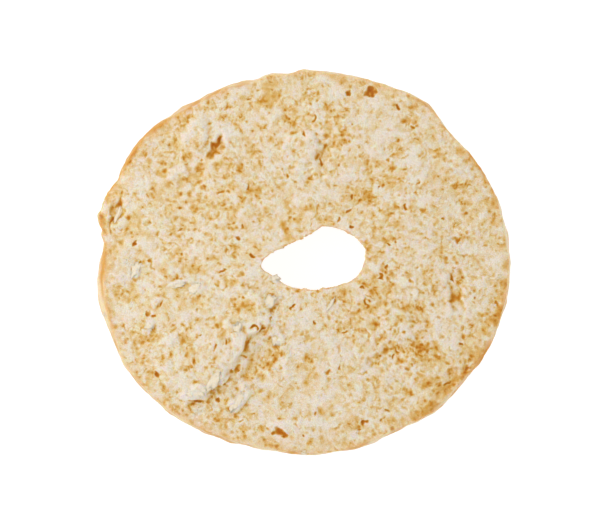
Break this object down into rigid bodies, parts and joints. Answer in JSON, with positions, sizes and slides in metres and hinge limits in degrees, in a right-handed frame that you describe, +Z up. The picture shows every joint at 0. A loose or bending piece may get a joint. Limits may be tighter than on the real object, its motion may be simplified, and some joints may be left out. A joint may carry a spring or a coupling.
{
  "type": "bagel half",
  "caption": "Half of a plain sliced bagel lying cut face up: a ring of bread with a flat foot, a smooth golden crust and a torn, open crumb.",
  "frame": {"origin": "on the surface that it rests on, under the middle of its outline", "axes": "+Z up, out of the cut face; +X along the longest way across, which is also the long way of the hole; +Y towards the top of the picture"},
  "size_m": [0.1101, 0.103, 0.0206],
  "materials": {
    "bread": "dry, open bread crumb on the cut face, with a satin golden crust round its sides and foot"
  },
  "bodies": {
    "root": {"bagel_half": "bread"}
  },
  "joints": []
}
